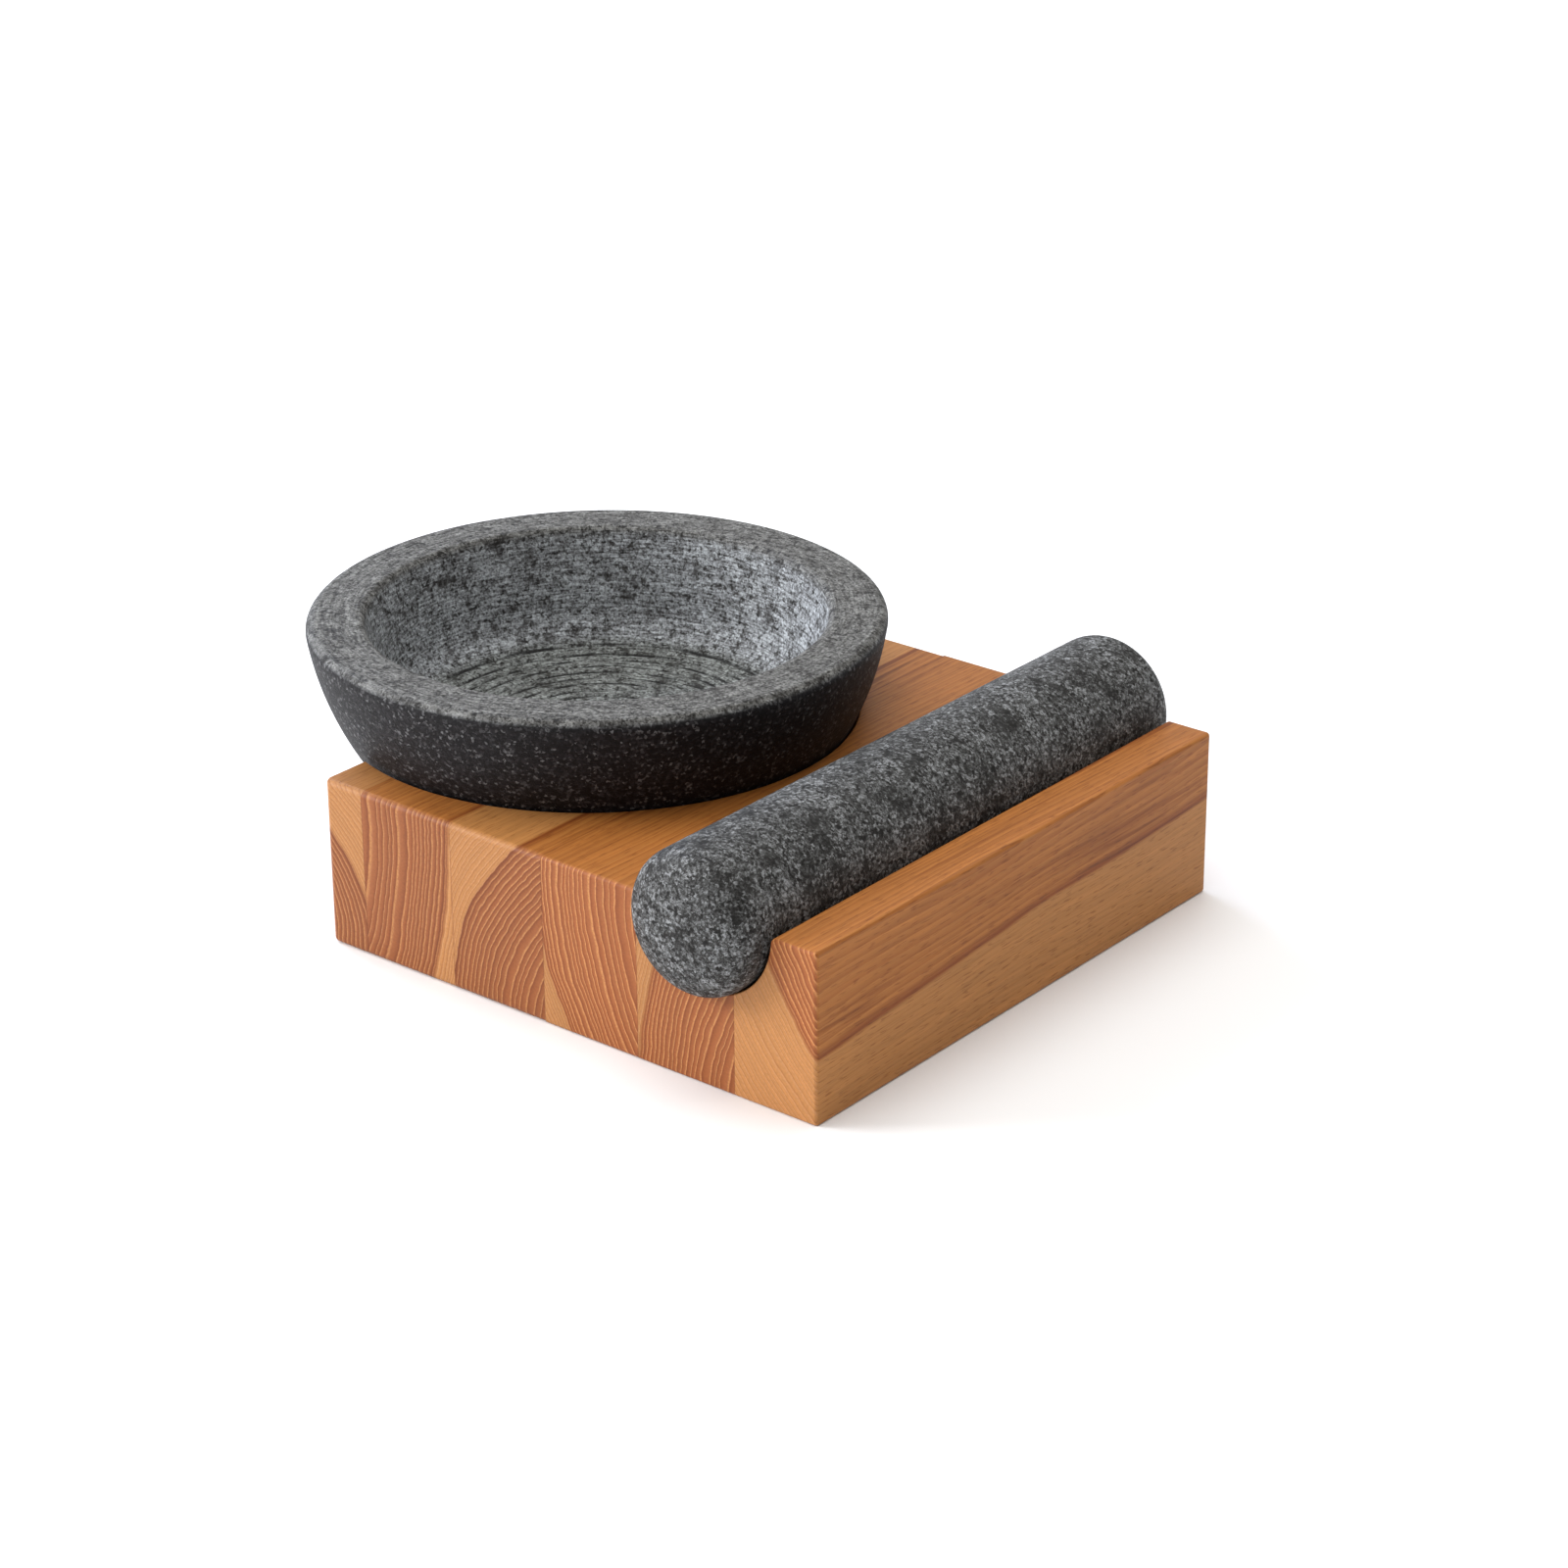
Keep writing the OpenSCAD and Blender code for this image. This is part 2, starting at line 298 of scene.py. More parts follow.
def oiled_elm(name, pith_mm, heart_r_mm, ring_mm, widening, rise, heart_tone, tone, glue_lines, wander_seed):
    """Planed and sanded elm under a thin oil.

    It is satin, with pale rows of pores, red-brown heartwood and tan sapwood.
    """
    material, tree, at_mm = start_material(name)

    # The rings wander slowly along the grain and ripple a little across it; each noise is 0.5 on average
    bent = at_mm
    for across_mm, along_mm, sway_mm, start in ((55, 130, 7.0, 0), (16, 70, 1.6, 40), (4.5, 40, 0.9, 80)):
        stretched = add_node(tree, "ShaderNodeMapping", None, {
            0: at_mm,
            "Location": (wander_seed + start, 0, 0),
            "Scale": (1 / across_mm, 1 / along_mm, 1 / across_mm),
        })
        sway = add_node(tree, "ShaderNodeTexNoise", None, {"Vector": stretched, "Scale": 1.0, "Detail": 1.0})
        centred = add_node(tree, "ShaderNodeVectorMath", {"operation": "SUBTRACT"},
                           {0: sway.outputs["Color"], 1: (0.5, 0.5, 0.5)})
        bent = add_node(tree, "ShaderNodeVectorMath", {"operation": "MULTIPLY_ADD"},
                        {0: centred, 1: (sway_mm, 0.0, sway_mm), 2: bent})
    pith_x_mm = block_low.x / MM + pith_mm[0]
    from_pith = add_node(tree, "ShaderNodeMapping", None, {
        0: bent,
        "Rotation": (-rise, 0.0, 0.0),
        "Location": (-pith_x_mm, 0.0, -pith_mm[1] + rise * front / MM),
    })
    across = add_node(tree, "ShaderNodeVectorMath", {"operation": "MULTIPLY"},
                      {0: from_pith, 1: (1, 0, 1)})
    radius = add_node(tree, "ShaderNodeVectorMath", {"operation": "LENGTH"}, {0: across}).outputs["Value"]

    # Rings are counted outwards, and they narrow as the tree grows, with good years and poor ones
    share = add_node(tree, "ShaderNodeMath", {"operation": "DIVIDE"}, {0: radius, 1: heart_r_mm})
    grown = add_node(tree, "ShaderNodeMath", {"operation": "POWER"}, {0: share, 1: widening})
    weather = add_node(tree, "ShaderNodeTexNoise", {"noise_dimensions": "1D"},
                       {"W": radius, "Scale": 1 / 9, "Detail": 1.0})
    good_years = add_node(tree, "ShaderNodeMath", {"operation": "MULTIPLY"}, {0: weather, 1: 1.6})
    count = add_node(tree, "ShaderNodeMath", {"operation": "MULTIPLY_ADD"},
                     {0: grown, 1: heart_r_mm / (widening * ring_mm), 2: good_years})
    season = add_node(tree, "ShaderNodeMath", {"operation": "FRACT"}, {0: count})
    year = add_node(tree, "ShaderNodeMath", {"operation": "FLOOR"}, {0: count})
    vigour = add_node(tree, "ShaderNodeTexWhiteNoise", {"noise_dimensions": "1D"}, {"W": year})

    # The row of open pores is 0.5 mm wide however wide its ring is. The pores are 0.3 mm round, and are drawn
    # as beads 0.7 mm long so that they show.
    narrowing = add_node(tree, "ShaderNodeMath", {"operation": "POWER"}, {0: share, 1: 1 - widening})
    width_mm = add_node(tree, "ShaderNodeMath", {"operation": "MULTIPLY"}, {0: narrowing, 1: ring_mm})
    grown_mm = add_node(tree, "ShaderNodeMath", {"operation": "MULTIPLY"}, {0: season, 1: width_mm})
    pore_row = add_node(tree, "ShaderNodeMapRange", {"interpolation_type": "SMOOTHSTEP"},
                        {"Value": grown_mm, "From Min": 0.75, "From Max": 0.3})
    row_start = add_node(tree, "ShaderNodeMapRange", {"interpolation_type": "SMOOTHSTEP"},
                         {"Value": grown_mm, "From Min": 0.0, "From Max": 0.2})
    beads = add_node(tree, "ShaderNodeTexNoise", None, {"Vector": at_mm, "Scale": 1 / 0.7, "Detail": 2.0})
    bead_tone = add_node(tree, "ShaderNodeMapRange", None,
                         {"Value": beads, "From Min": 0.36, "From Max": 0.56, "To Min": 0.45, "To Max": 1.0})
    pores = add_node(tree, "ShaderNodeMath", {"operation": "MULTIPLY"}, {0: pore_row, 1: row_start})
    pores = add_node(tree, "ShaderNodeMath", {"operation": "MULTIPLY"}, {0: pores, 1: bead_tone})

    # Where the heartwood starts, 0 in the sapwood and 1 inside, with its dark outermost ring and long streaks
    depth = add_node(tree, "ShaderNodeMath", {"operation": "SUBTRACT"}, {0: heart_r_mm, 1: radius})
    heart = add_node(tree, "ShaderNodeMapRange", {"interpolation_type": "SMOOTHSTEP"},
                     {"Value": depth, "From Min": -0.5, "From Max": 0.6})
    inside = add_node(tree, "ShaderNodeMapRange", {"interpolation_type": "SMOOTHSTEP"},
                      {"Value": depth, "From Min": 2.8, "From Max": 0.3})
    stain = add_node(tree, "ShaderNodeMath", {"operation": "MULTIPLY"}, {0: heart, 1: inside})
    streak_place = add_node(tree, "ShaderNodeMapping", None, {0: bent, "Scale": (1 / 2.5, 1 / 110, 1 / 2.5)})
    streaks = add_node(tree, "ShaderNodeTexNoise", None,
                       {"Vector": streak_place, "Scale": 1.0, "Detail": 3.0})
    near_edge = add_node(tree, "ShaderNodeMapRange", None,
                         {"Value": depth, "From Min": 22.0, "From Max": 1.0})
    streaky = add_node(tree, "ShaderNodeMapRange", {"interpolation_type": "SMOOTHSTEP"},
                       {"Value": streaks, "From Min": 0.5, "From Max": 0.66})
    streaky = add_node(tree, "ShaderNodeMath", {"operation": "MULTIPLY"}, {0: streaky, 1: near_edge})
    streaky = add_node(tree, "ShaderNodeMath", {"operation": "MULTIPLY"}, {0: streaky, 1: heart})

    # End grain: the late wood darkens through the season, and the pores show as pale lines
    heart_late = add_node(tree, "ShaderNodeValToRGB", {"stops": [
        (0.0, linear("#a16239")), (0.55, linear("#98572e")), (0.97, linear("#824522")),
        (1.0, linear("#98572e")),
    ]}, {"Fac": season})
    heart_end = add_node(tree, "ShaderNodeMix", {"data_type": "RGBA"},
                         {0: pores, 6: heart_late, 7: linear("#bf824d")})
    sap_late = add_node(tree, "ShaderNodeValToRGB", {"stops": [
        (0.0, linear("#b07946")), (0.7, linear("#b07946")), (0.96, linear("#9d6537")),
        (1.0, linear("#b07946")),
    ]}, {"Fac": season})
    faint_pores = add_node(tree, "ShaderNodeMath", {"operation": "MULTIPLY"}, {0: pores, 1: 0.5})
    sap_end = add_node(tree, "ShaderNodeMix", {"data_type": "RGBA"},
                       {0: faint_pores, 6: sap_late, 7: linear("#ba895f")})
    toned_heart = add_node(tree, "ShaderNodeMix", {"data_type": "RGBA", "blend_type": "MULTIPLY"},
                           {0: 1.0, 6: heart_end, 7: (heart_tone, heart_tone, heart_tone, 1.0)})
    end_colour = add_node(tree, "ShaderNodeMix", {"data_type": "RGBA"},
                          {0: heart, 6: sap_end, 7: toned_heart})
    flecks = add_node(tree, "ShaderNodeTexNoise", None, {"Vector": at_mm, "Scale": 1 / 0.9, "Detail": 3.0})
    fleck_tone = add_node(tree, "ShaderNodeMapRange", None,
                          {"Value": flecks, "From Min": 0.3, "From Max": 0.7, "To Min": 0.9, "To Max": 1.1})
    end_grain = add_node(tree, "ShaderNodeMix", {"data_type": "RGBA", "blend_type": "MULTIPLY"},
                         {0: 1.0, 6: end_colour, 7: fleck_tone})

    # Long grain: the same rings, softer and yellower, with fibres and short dark pores along them
    heart_long = add_node(tree, "ShaderNodeValToRGB", {"stops": [
        (0.0, linear("#a76b32")), (0.3, linear("#a3662e")), (0.93, linear("#955925")),
        (1.0, linear("#a76b32")),
    ]}, {"Fac": season})
    sap_long = add_node(tree, "ShaderNodeValToRGB", {"stops": [
        (0.0, linear("#a9733e")), (0.7, linear("#a9733e")), (0.93, linear("#a16b37")),
        (1.0, linear("#a9733e")),
    ]}, {"Fac": season})
    long_colour = add_node(tree, "ShaderNodeMix", {"data_type": "RGBA"},
                           {0: heart, 6: sap_long, 7: heart_long})
    fibre_place = add_node(tree, "ShaderNodeMapping", None,
                           {0: bent, "Scale": (1 / 0.9, 1 / 40, 1 / 0.9)})
    fibres = add_node(tree, "ShaderNodeTexNoise", None,
                      {"Vector": fibre_place, "Scale": 1.0, "Detail": 4.0, "Roughness": 0.6})
    fibre_tone = add_node(tree, "ShaderNodeMapRange", None,
                          {"Value": fibres, "From Min": 0.3, "From Max": 0.7, "To Min": 0.86, "To Max": 1.12})
    fibrous = add_node(tree, "ShaderNodeMix", {"data_type": "RGBA", "blend_type": "MULTIPLY"},
                       {0: 1.0, 6: long_colour, 7: fibre_tone})
    fibrous = add_node(tree, "ShaderNodeMix", {"data_type": "RGBA", "blend_type": "MULTIPLY"},
                       {0: streaky, 6: fibrous, 7: linear("#c9b59c")})
    slit_place = add_node(tree, "ShaderNodeMapping", None, {0: at_mm, "Scale": (1 / 0.6, 1 / 7, 1 / 0.6)})
    slits = add_node(tree, "ShaderNodeTexNoise", None,
                     {"Vector": slit_place, "Scale": 1.0, "Detail": 1.0})
    slit_mask = add_node(tree, "ShaderNodeMapRange", None,
                         {"Value": slits, "From Min": 0.6, "From Max": 0.68, "To Min": 0.0, "To Max": 0.5})
    long_grain = add_node(tree, "ShaderNodeMix", {"data_type": "RGBA", "blend_type": "MULTIPLY"},
                          {0: slit_mask, 6: fibrous, 7: linear("#a88a78")})

    # The cut across the grain faces front or back
    normal = add_node(tree, "ShaderNodeTexCoord").outputs["Normal"]
    facing = add_node(tree, "ShaderNodeSeparateXYZ", None, {0: normal})
    steep = add_node(tree, "ShaderNodeMath", {"operation": "ABSOLUTE"}, {0: facing.outputs["Y"]})
    end_share = add_node(tree, "ShaderNodeMapRange", None,
                         {"Value": steep, "From Min": 0.35, "From Max": 0.75})
    wood = add_node(tree, "ShaderNodeMix", {"data_type": "RGBA"},
                    {0: end_share, 6: long_grain, 7: end_grain})

    # Each ring is a little darker or paler than the next, and the outermost heartwood is stained dark
    vigour_tone = add_node(tree, "ShaderNodeMapRange", None,
                           {"Value": vigour, "To Min": 0.95 * tone, "To Max": 1.05 * tone})
    varied = add_node(tree, "ShaderNodeMix", {"data_type": "RGBA", "blend_type": "MULTIPLY"},
                      {0: 1.0, 6: wood, 7: vigour_tone})
    stain_share = add_node(tree, "ShaderNodeMapRange", None,
                           {"Value": end_share, "To Min": 1.0, "To Max": 0.5})
    stain = add_node(tree, "ShaderNodeMath", {"operation": "MULTIPLY"}, {0: stain, 1: stain_share})
    finished = add_node(tree, "ShaderNodeMix", {"data_type": "RGBA", "blend_type": "MULTIPLY"},
                        {0: stain, 6: varied, 7: linear("#c8aa94")})

    # A glue line is 0.1 mm wide; it is drawn 0.4 mm wide so that it shows
    xyz = add_node(tree, "ShaderNodeSeparateXYZ", None, {0: at_mm})
    for glue_line in glue_lines:
        off = add_node(tree, "ShaderNodeMath", {"operation": "SUBTRACT"},
                       {0: xyz.outputs["X"], 1: glue_line / MM})
        gap = add_node(tree, "ShaderNodeMath", {"operation": "ABSOLUTE"}, {0: off})
        glue = add_node(tree, "ShaderNodeMapRange", None,
                        {"Value": gap, "From Min": 0.3, "From Max": 0.1, "To Min": 0.0, "To Max": 0.5})
        finished = add_node(tree, "ShaderNodeMix", {"data_type": "RGBA", "blend_type": "MULTIPLY"},
                            {0: glue, 6: finished, 7: linear("#b89a84")})

    # Sanding leaves the pore rows a little lower than the late wood, and the fibres slightly raised
    pore_floor = add_node(tree, "ShaderNodeMath", {"operation": "SUBTRACT"}, {0: 1.0, 1: pores})
    height = add_node(tree, "ShaderNodeMix", {"data_type": "FLOAT"}, {0: end_share, 2: fibres, 3: pore_floor})
    bump = add_node(tree, "ShaderNodeBump", None, {"Strength": 1.0, "Distance": 0.00006, "Height": height})
    shader = add_node(tree, "ShaderNodeBsdfPrincipled", None,
                      {"Base Color": finished, "Roughness": 0.5, "Specular IOR Level": 0.25, "Normal": bump})
    add_node(tree, "ShaderNodeOutputMaterial", None, {"Surface": shader})
    return material


for index, (name, (low, high)) in enumerate(zip(stave_names, stave_boxes)):
    stave = blank.copy()
    glue_lines = []
    is_first, is_last = index == 0, index == len(stave_names) - 1
    for cut, normal, is_unglued in ((low.x, (-1, 0, 0), is_first), (high.x, (1, 0, 0), is_last)):
        if is_unglued:
            continue
        glue_lines.append(cut)
        sawn = bmesh.ops.bisect_plane(
            stave, geom=stave.verts[:] + stave.edges[:] + stave.faces[:],
            plane_co=(cut, 0, 0), plane_no=normal, clear_outer=True,
        )
        # The sawn face is closed, and its edges stay sharp
        rim = [item for item in sawn["geom_cut"] if isinstance(item, bmesh.types.BMEdge)]
        bmesh.ops.contextual_create(stave, geom=rim)
        weight = stave.edges.layers.float["bevel_weight_edge"]
        for edge in rim:
            edge[weight] = 0.0
            edge.smooth = False
    bmesh.ops.recalc_face_normals(stave, faces=stave.faces[:])
    piece = add_object(f"sanded_{name}", stave)
    piece.data.shade_smooth()
    piece.data.materials.append(oiled_elm(
        f"oiled elm {index + 1}", glue_lines=glue_lines, wander_seed=3.7 * index, **growth[name],
    ))
    easing_cut = piece.modifiers.new("eased_edges", "BEVEL")
    easing_cut.limit_method = "WEIGHT"
    easing_cut.width = edge_r
    easing_cut.segments = 6
    easing_cut.harden_normals = True
    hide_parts(name)
    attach(piece, "block")
blank.free()


# ---- Bowl ----
# One piece of dark basalt, turned and ground: the hollow and the rim are left grey from the stone wheel,
# and the outer wall is honed and sealed, which turns it nearly black.
bowl_r = (bowl_high.x - bowl_low.x) / 2
bowl_h = bowl_high.z - bowl_low.z
foot_r = 79 * MM
foot_edge_r = 2 * MM
rim_outer_r = 3.5 * MM
rim_inner_r = 3 * MM
rim_w = 20.5 * MM
wall_bulge = 3 * MM
floor_t = 7 * MM
floor_slope = math.radians(3)
hollow_slope = math.radians(78)
hollow_corner_r = 18 * MM


def arc(centre, radius, start, end, steps):
    """Points on an arc in the half section, as distance from the axis and height."""
    return [
        Vector((centre[0] + radius * math.cos(start + (end - start) * k / steps),
                centre[1] + radius * math.sin(start + (end - start) * k / steps)))
        for k in range(steps + 1)
    ]


def straight(start, end, steps):
    """Points on a straight line in the half section, without its own two ends."""
    return [start.lerp(end, k / steps) for k in range(1, steps)]


foot_centre = Vector((foot_r, foot_edge_r))
rim_centre = Vector((bowl_r - rim_outer_r, bowl_h - rim_outer_r))
wall_run = rim_centre - foot_centre
wall_facing = math.atan2(wall_run.y, wall_run.x) - math.acos((foot_edge_r - rim_outer_r) / wall_run.length)
wall_turn = math.atan(4 * wall_bulge / wall_run.length)
foot_arc = arc(foot_centre, foot_edge_r, -math.pi / 2, wall_facing - wall_turn, 6)
rim_outer_arc = arc(rim_centre, rim_outer_r, wall_facing + wall_turn, math.pi / 2, 12)
wall_out = Vector((math.cos(wall_facing), math.sin(wall_facing)))
wall_steps = 24
outer_wall = [
    foot_arc[-1].lerp(rim_outer_arc[0], k / wall_steps)
    + wall_out * 4 * wall_bulge * k / wall_steps * (1 - k / wall_steps)
    for k in range(1, wall_steps)
]
mouth_centre = Vector((bowl_r - rim_w + rim_inner_r, bowl_h - rim_inner_r))
rim_inner_arc = arc(mouth_centre, rim_inner_r, math.pi / 2, math.pi / 2 + hollow_slope, 10)
# The hollow's corner touches the straight lines of its wall and its floor
from_wall = hollow_corner_r + rim_inner_arc[-1].dot(Vector((-math.sin(hollow_slope), math.cos(hollow_slope))))
from_floor = hollow_corner_r + floor_t * math.cos(floor_slope)
corner_centre = Vector((
    math.cos(hollow_slope) * from_floor - math.cos(floor_slope) * from_wall,
    math.sin(hollow_slope) * from_floor - math.sin(floor_slope) * from_wall,
)) / math.sin(hollow_slope - floor_slope)
corner_arc = arc(corner_centre, hollow_corner_r, hollow_slope - math.pi / 2, floor_slope - math.pi / 2, 60)
flat_rim = straight(rim_outer_arc[-1], rim_inner_arc[0], 12)
hollow_wall = straight(rim_inner_arc[-1], corner_arc[0], 20)
floor_middle = Vector((0, floor_t))
floor_line = [*straight(corner_arc[-1], floor_middle, 150), floor_middle]

# The stone wheel leaves narrow grooves in the floor, which fade out where the wall rises; each has its own
# depth, picked by noise at a place that moves on from one groove to the next
mark_spacing = 4.8 * MM
mark_depth = 0.55 * MM
mark_variety = 0.9
mark_half_w = 0.6 * MM
marks_end_r, marks_fade_r = 64 * MM, 70 * MM
for point in corner_arc + floor_line:
    strength = min(1.0, max(0.0, (marks_fade_r - point.x) / (marks_fade_r - marks_end_r)))
    mark = point.x // mark_spacing
    off_mark = point.x - (mark + 0.5) * mark_spacing
    depth = mark_depth * (1 + mark_variety * noise.noise((mark * 1.7, 0.4, 2.3)))
    point.y -= depth * strength * math.exp(-(off_mark / mark_half_w) ** 2)


def add_round_piece(name, outline, centre, axis, steps):
    """Spins an outline that starts and ends on its axis into a smooth solid, and adds it to the scene."""
    solid = bmesh.new()
    profile = [solid.verts.new(point) for point in outline]
    chain = [solid.edges.new(pair) for pair in zip(profile, profile[1:])]
    bmesh.ops.spin(
        solid, geom=profile + chain, cent=centre, axis=axis,
        angle=2 * math.pi, steps=steps, use_merge=True,
    )
    bmesh.ops.remove_doubles(solid, verts=solid.verts[:], dist=merge_gap)
    bmesh.ops.recalc_face_normals(solid, faces=solid.faces[:])
    piece = add_object(name, solid)
    piece.data.shade_smooth()
    return piece


half_section = [
    Vector((0, 0)), *foot_arc, *outer_wall, *rim_outer_arc, *flat_rim,
    *rim_inner_arc, *hollow_wall, *corner_arc, *floor_line,
]
bowl_outline = [(bowl_x + point.x, bowl_y, bowl_low.z + point.y) for point in half_section]
bowl = add_round_piece("turned_bowl", bowl_outline, (bowl_x, bowl_y, 0), (0, 0, 1), steps=256)


def crystals(tree, at_mm, grain_mm, cluster_mm, patchiness):
    """Three patterns, 0 to 1: the tone of interlocked crystals, that of single ones, and dark clusters."""
    warp = add_node(tree, "ShaderNodeTexNoise", None, {"Vector": at_mm, "Scale": 1 / grain_mm, "Detail": 1.0})
    shifted = add_node(tree, "ShaderNodeVectorMath", {"operation": "MULTIPLY_ADD"},
                       {0: warp.outputs["Color"], 1: (grain_mm * 1.6,) * 3, 2: at_mm})
    cells = add_node(tree, "ShaderNodeTexVoronoi", None, {"Vector": shifted, "Scale": 1 / grain_mm})
    cell_tone = add_node(tree, "ShaderNodeSeparateColor", None, {0: cells.outputs["Color"]}).outputs["Red"]
    grit = add_node(tree, "ShaderNodeTexNoise", None,
                    {"Vector": at_mm, "Scale": 1.1 / grain_mm, "Detail": 3.0, "Roughness": 0.8})
    grit_tone = add_node(tree, "ShaderNodeMapRange", None,
                         {"Value": grit, "From Min": 0.38, "From Max": 0.62})
    speckle = add_node(tree, "ShaderNodeMix", {"data_type": "FLOAT"},
                       {0: 0.55, 2: grit_tone, 3: cell_tone})
    patches = add_node(tree, "ShaderNodeTexNoise", None,
                       {"Vector": at_mm, "Scale": 1 / cluster_mm, "Detail": 6.0, "Roughness": 0.7})
    clusters = add_node(tree, "ShaderNodeMapRange", {"interpolation_type": "SMOOTHSTEP"},
                        {"Value": patches, "From Min": 0.44, "From Max": 0.37})
    patch_tone = add_node(tree, "ShaderNodeMapRange", None,
                          {"Value": patches, "From Min": 0.35, "From Max": 0.65})
    tone = add_node(tree, "ShaderNodeMix", {"data_type": "FLOAT"},
                    {0: patchiness, 2: speckle, 3: patch_tone})
    # Open pits are about twice as wide as a crystal
    hollows = add_node(tree, "ShaderNodeTexNoise", None,
                       {"Vector": at_mm, "Scale": 0.45 / grain_mm, "Detail": 2.0})
    pit_tone = add_node(tree, "ShaderNodeMapRange", {"interpolation_type": "SMOOTHSTEP"},
                        {"Value": hollows, "From Min": 0.33, "From Max": 0.42, "To Min": 0.35, "To Max": 1.0})
    tone = add_node(tree, "ShaderNodeMath", {"operation": "MULTIPLY"}, {0: tone, 1: pit_tone})
    return tone, cell_tone, clusters


# Ground basalt is matt and speckled grey, with crystals about 0.9 mm across. Honed and sealed, it is nearly
# black, with a few pale flecks.
ground, tree, at_mm = start_material("ground and honed basalt")
from_axis = add_node(tree, "ShaderNodeMapping", None,
                     {0: at_mm, "Location": (-bowl_x / MM, -bowl_y / MM, -bowl_low.z / MM)})
level = add_node(tree, "ShaderNodeVectorMath", {"operation": "MULTIPLY"},
                 {0: from_axis, 1: (1, 1, 0)})
radius = add_node(tree, "ShaderNodeVectorMath", {"operation": "LENGTH"}, {0: level}).outputs["Value"]
height = add_node(tree, "ShaderNodeSeparateXYZ", None, {0: from_axis}).outputs["Z"]

# Scratches run round the axis. They are a tenth of a millimetre wide, and are drawn 0.9 mm wide so that they
# show. Every turn reads its pattern from a circle of only 10 mm radius, which draws it out along the turn.
pattern_r_mm = 10.0
travel = add_node(tree, "ShaderNodeMath", {"operation": "ADD"}, {0: radius, 1: height})
lift = add_node(tree, "ShaderNodeCombineXYZ", None, {"Z": travel})
heading = add_node(tree, "ShaderNodeVectorMath", {"operation": "NORMALIZE"}, {0: level})
drawn_out = add_node(tree, "ShaderNodeVectorMath", {"operation": "MULTIPLY_ADD"},
                     {0: heading, 1: (pattern_r_mm, pattern_r_mm, 0.0), 2: lift})
tone, cell_tone, clusters = crystals(tree, at_mm, grain_mm=0.9, cluster_mm=8.0, patchiness=0.22)
scratches = add_node(tree, "ShaderNodeTexNoise", None,
                     {"Vector": drawn_out, "Scale": 1 / 0.9, "Detail": 2.0, "Roughness": 0.6})
scratch_tone = add_node(tree, "ShaderNodeMapRange", None,
                        {"Value": scratches, "From Min": 0.36, "From Max": 0.64})
wheel_tone = add_node(tree, "ShaderNodeMix", {"data_type": "FLOAT"}, {0: 0.25, 2: tone, 3: scratch_tone})
grey = add_node(tree, "ShaderNodeValToRGB", {"stops": [
    (0.15, linear("#232221")), (0.34, linear("#595959")), (0.48, linear("#808284")),
    (0.62, linear("#9da0a3")), (0.82, linear("#cdd2d6")),
]}, {"Fac": wheel_tone})
cluster_share = add_node(tree, "ShaderNodeMath", {"operation": "MULTIPLY"}, {0: clusters, 1: 0.6})
clustered = add_node(tree, "ShaderNodeMix", {"data_type": "RGBA"},
                     {0: cluster_share, 6: grey, 7: linear("#302d2b")})

# The rim is darkened, partly as handling wear and partly as painted shade on its level top; the floor is
# darkened as painted shade where it lies in shade; the wall between keeps the lightest grey
on_rim = add_node(tree, "ShaderNodeMapRange", {"interpolation_type": "SMOOTHSTEP"},
                  {"Value": height, "From Min": bowl_h / MM - 4, "From Max": bowl_h / MM - 0.5})
# Handling wear and painted shade: the level rim is made darker
rim_wear_and_painted_shade = add_node(tree, "ShaderNodeMix", {"data_type": "RGBA", "blend_type": "MULTIPLY"},
                  {0: on_rim, 6: clustered, 7: linear("#aeaaa3")})
is_floor = add_node(tree, "ShaderNodeMapRange", {"interpolation_type": "SMOOTHSTEP"},
                    {"Value": radius, "From Min": marks_fade_r / MM, "From Max": marks_end_r / MM})
# Painted shade: the hollow's floor is made darker, where it lies in shade
wear_and_painted_shade = add_node(tree, "ShaderNodeMix", {"data_type": "RGBA", "blend_type": "MULTIPLY"},
                {0: is_floor, 6: rim_wear_and_painted_shade, 7: linear("#cfd0c9")})

# The grooves of the floor are drawn dark, partly as dust and partly as painted shade, in broken stretches
mark_place = add_node(tree, "ShaderNodeMath", {"operation": "DIVIDE"}, {0: radius, 1: mark_spacing / MM})
mark_share = add_node(tree, "ShaderNodeMath", {"operation": "FRACT"}, {0: mark_place})
mark_off = add_node(tree, "ShaderNodeMath", {"operation": "SUBTRACT"}, {0: mark_share, 1: 0.5})
mark_gap = add_node(tree, "ShaderNodeMath", {"operation": "ABSOLUTE"}, {0: mark_off})
in_mark = add_node(tree, "ShaderNodeMapRange", {"interpolation_type": "SMOOTHSTEP"},
                   {"Value": mark_gap, "From Min": 0.23, "From Max": 0.06})
broken = add_node(tree, "ShaderNodeTexNoise", None, {"Vector": drawn_out, "Scale": 1 / 3, "Detail": 4.0})
unbroken = add_node(tree, "ShaderNodeMapRange", None,
                    {"Value": broken, "From Min": 0.42, "From Max": 0.56, "To Min": 0.05, "To Max": 1.0})
# Dust and painted shade: the grooves are drawn nearly black
groove_dust_and_painted_shade = add_node(tree, "ShaderNodeMath", {"operation": "MULTIPLY"}, {0: in_mark, 1: is_floor})
groove_dust_and_painted_shade = add_node(tree, "ShaderNodeMath", {"operation": "MULTIPLY"}, {0: groove_dust_and_painted_shade, 1: unbroken})
dust_and_shade_marked = add_node(tree, "ShaderNodeMix", {"data_type": "RGBA"}, {0: groove_dust_and_painted_shade, 6: wear_and_painted_shade, 7: linear("#141312")})

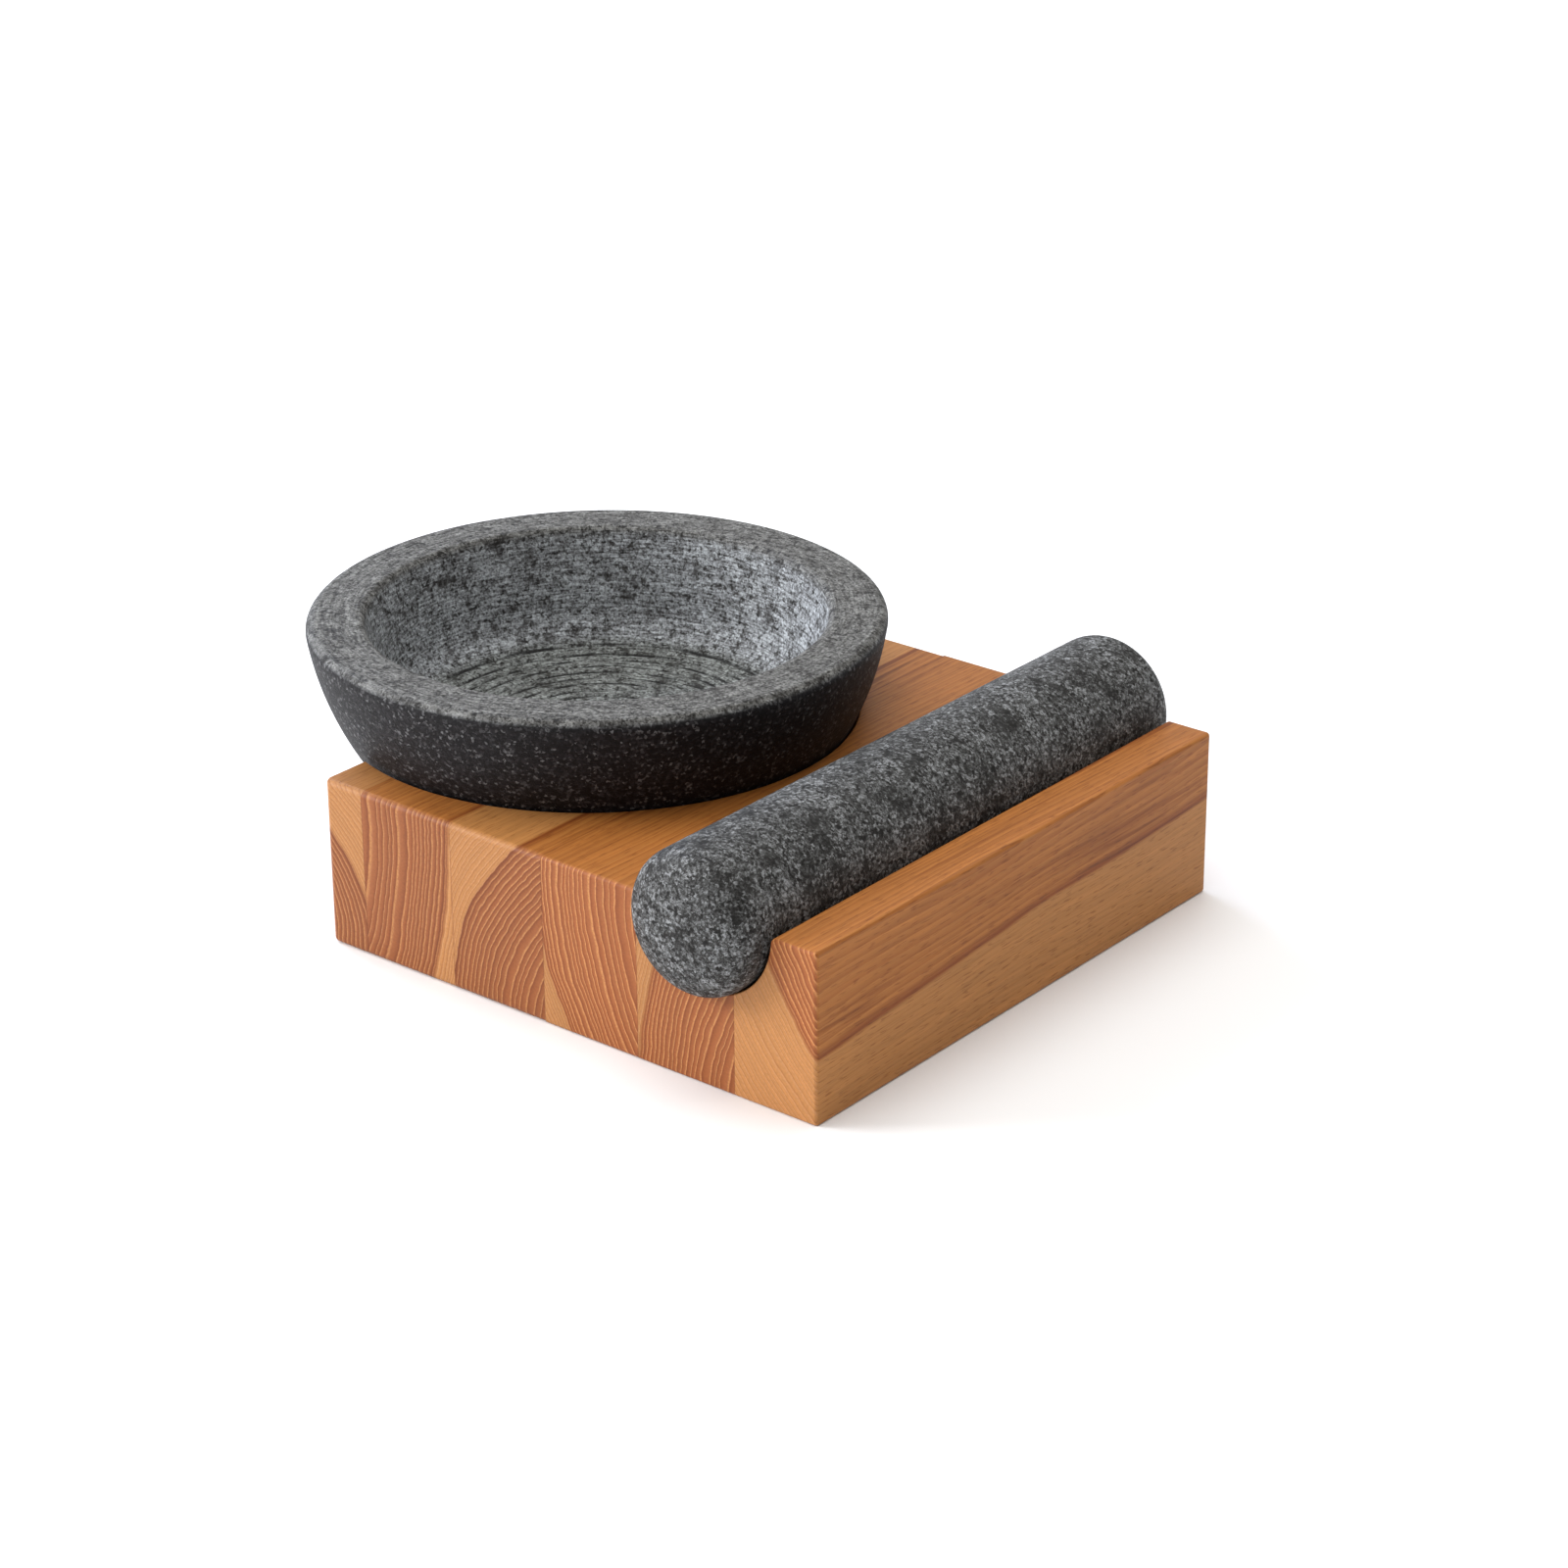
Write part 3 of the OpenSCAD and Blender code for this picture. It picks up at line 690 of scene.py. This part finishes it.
# The honed part is the outer wall up to the rim's rounding, and the foot. Under the rim, all that lies
# outside the hollow's mouth is wall, and all that lies lower than half the floor's thickness is foot.
black = add_node(tree, "ShaderNodeValToRGB", {"stops": [
    (0.0, linear("#090809")), (0.5, linear("#131113")), (0.8, linear("#272527")),
    (0.93, linear("#444344")), (1.0, linear("#686869")),
]}, {"Fac": cell_tone})
is_low = add_node(tree, "ShaderNodeMapRange", None,
                  {"Value": height, "From Min": bowl_h / MM - 1.2, "From Max": bowl_h / MM - 2.4})
is_outside = add_node(tree, "ShaderNodeMath", {"operation": "GREATER_THAN"},
                      {0: radius, 1: (bowl_r - rim_w) / MM + 0.8})
is_under = add_node(tree, "ShaderNodeMath", {"operation": "LESS_THAN"}, {0: height, 1: floor_t / MM / 2})
is_wall = add_node(tree, "ShaderNodeMath", {"operation": "MAXIMUM"}, {0: is_outside, 1: is_under})
honed = add_node(tree, "ShaderNodeMath", {"operation": "MULTIPLY"}, {0: is_low, 1: is_wall})
stone = add_node(tree, "ShaderNodeMix", {"data_type": "RGBA"}, {0: honed, 6: dust_and_shade_marked, 7: black})
stone_bump = add_node(tree, "ShaderNodeBump", None,
                      {"Strength": 1.0, "Distance": 0.0003, "Height": wheel_tone})
shader = add_node(tree, "ShaderNodeBsdfPrincipled", None,
                  {"Base Color": stone, "Roughness": 0.6, "Specular IOR Level": 0.2, "Normal": stone_bump})
add_node(tree, "ShaderNodeOutputMaterial", None, {"Surface": shader})
bowl.data.materials.append(ground)
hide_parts("bowl")
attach(bowl, "bowl")


# ---- Pestle ----
# A plain round bar of the same basalt, ground all over and domed at both ends. It lies loose in the groove,
# and reaches past the block at the front and at the back.
pestle_x = (pestle_low.x + pestle_high.x) / 2
pestle_z = (pestle_low.z + pestle_high.z) / 2
front_end_l = 13 * MM
rear_end_l = 11 * MM
# A power of 2 would make an end half an ellipse; this one is a little squarer
end_power = 2.6
end_steps = 24


def domed_end(tip_y, length):
    """Outline of an end from the side of the bar to its tip, as distance from the axis and place along it."""
    return [
        (pestle_r * math.cos(t) ** (2 / end_power), tip_y - length * (1 - math.sin(t) ** (2 / end_power)))
        for t in (math.pi / 2 * k / end_steps for k in range(end_steps + 1))
    ]


front_outline = domed_end(pestle_low.y, -front_end_l)
rear_outline = domed_end(pestle_high.y, rear_end_l)
side_steps = 100
side_start, side_end = front_outline[0][1], rear_outline[0][1]
side = [(pestle_r, side_start + (side_end - side_start) * k / side_steps) for k in range(1, side_steps)]
pestle_outline = [
    (pestle_x + r, y, pestle_z) for r, y in [*reversed(front_outline), *side, *rear_outline]
]
pestle = add_round_piece("ground_pestle", pestle_outline, (pestle_x, 0, pestle_z), (0, 1, 0), steps=128)

# Ground basalt again, matt and darker than in the bowl, in dark and pale patches; its crystals are about 1 mm
grit, tree, at_mm = start_material("ground basalt")
tone, _, clusters = crystals(tree, at_mm, grain_mm=1.0, cluster_mm=13.0, patchiness=0.22)
crisp_grey = add_node(tree, "ShaderNodeValToRGB", {"stops": [
    (0.15, linear("#121110")), (0.32, linear("#292827")), (0.48, linear("#424241")),
    (0.64, linear("#636464")), (0.85, linear("#989a9c")),
]}, {"Fac": tone})
cluster_share = add_node(tree, "ShaderNodeMath", {"operation": "MULTIPLY"}, {0: clusters, 1: 0.55})
grey = add_node(tree, "ShaderNodeMix", {"data_type": "RGBA"},
                {0: cluster_share, 6: crisp_grey, 7: linear("#1c1b19")})
pestle_bump = add_node(tree, "ShaderNodeBump", None,
                       {"Strength": 1.0, "Distance": 0.00025, "Height": tone})
shader = add_node(tree, "ShaderNodeBsdfPrincipled", None,
                  {"Base Color": grey, "Roughness": 0.6, "Specular IOR Level": 0.2, "Normal": pestle_bump})
add_node(tree, "ShaderNodeOutputMaterial", None, {"Surface": shader})
pestle.data.materials.append(grit)
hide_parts("pestle")
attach(pestle, "pestle")
